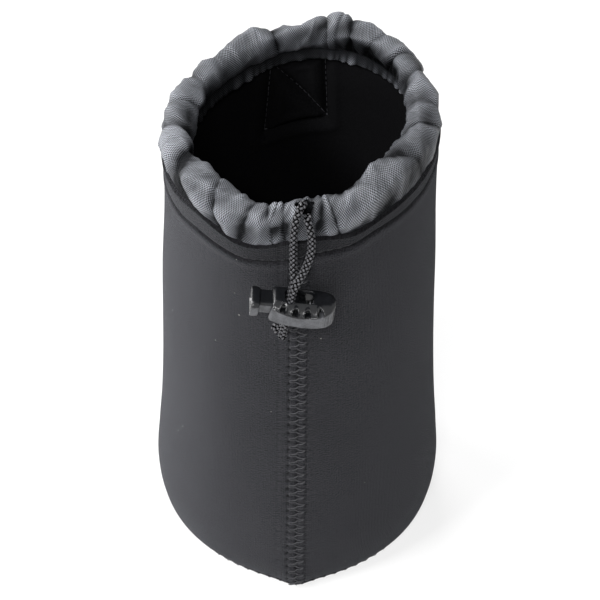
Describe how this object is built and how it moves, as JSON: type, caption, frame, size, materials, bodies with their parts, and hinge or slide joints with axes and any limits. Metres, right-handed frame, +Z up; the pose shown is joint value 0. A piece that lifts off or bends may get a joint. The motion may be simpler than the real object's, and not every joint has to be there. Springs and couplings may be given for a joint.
{
  "type": "drawstring lens pouch",
  "caption": "Padded cylindrical neoprene pouch with a zigzag-sewn seam, a gathered woven collar on a drawcord with a spring cord lock, and a webbing belt loop behind",
  "frame": {"origin": "centre of the flat underside of the base", "axes": "+Z up along the pouch to its mouth; -Y faces the front, where the wall's seam and the cord lock are; +X is to the right when the front is looked at; the belt loop is at +Y"},
  "size_m": [0.1064, 0.1171, 0.2123],
  "materials": {
    "jersey_neoprene": "matte knit jersey over foam rubber",
    "base_neoprene": "matte knit jersey over foam rubber",
    "woven_nylon": "plain-woven nylon with a low sheen",
    "thread": "twisted polyester thread",
    "braided_cord": "braided polyester",
    "lock_plastic": "glossy moulded plastic",
    "spring_steel": "drawn spring wire",
    "webbing": "woven polypropylene webbing"
  },
  "bodies": {
    "pouch": {"body_wall": "jersey_neoprene", "base_disc": "base_neoprene", "front_seam_thread": "thread", "base_seam_thread": "thread", "collar": "woven_nylon", "collar_stitch_outside": "thread", "collar_stitch_inside": "thread", "drawcord_ring": "braided_cord", "cord_left": "braided_cord", "cord_right": "braided_cord", "belt_loop": "webbing", "upper_stitch_outside": "thread", "upper_stitch_inside": "thread", "lower_stitch_outside": "thread", "lower_stitch_inside": "thread"},
    "cord_lock": {"lock_barrel": "lock_plastic", "lock_spring": "spring_steel"},
    "plunger": {"lock_plunger": "lock_plastic"}
  },
  "joints": [
    {"name": "lock_slide", "type": "slide", "parent": "pouch", "child": "cord_lock", "axis": [0.1478, 0, 0.989], "range_m": [-0.003, 0.006]},
    {"name": "plunger_press", "type": "slide", "parent": "cord_lock", "child": "plunger", "axis": [0.989, 0, -0.1478], "range_m": [0, 0.0036], "stiffness_N_per_m": 1500, "springref_m": -0.0012, "deforming": ["lock_spring"]}
  ]
}
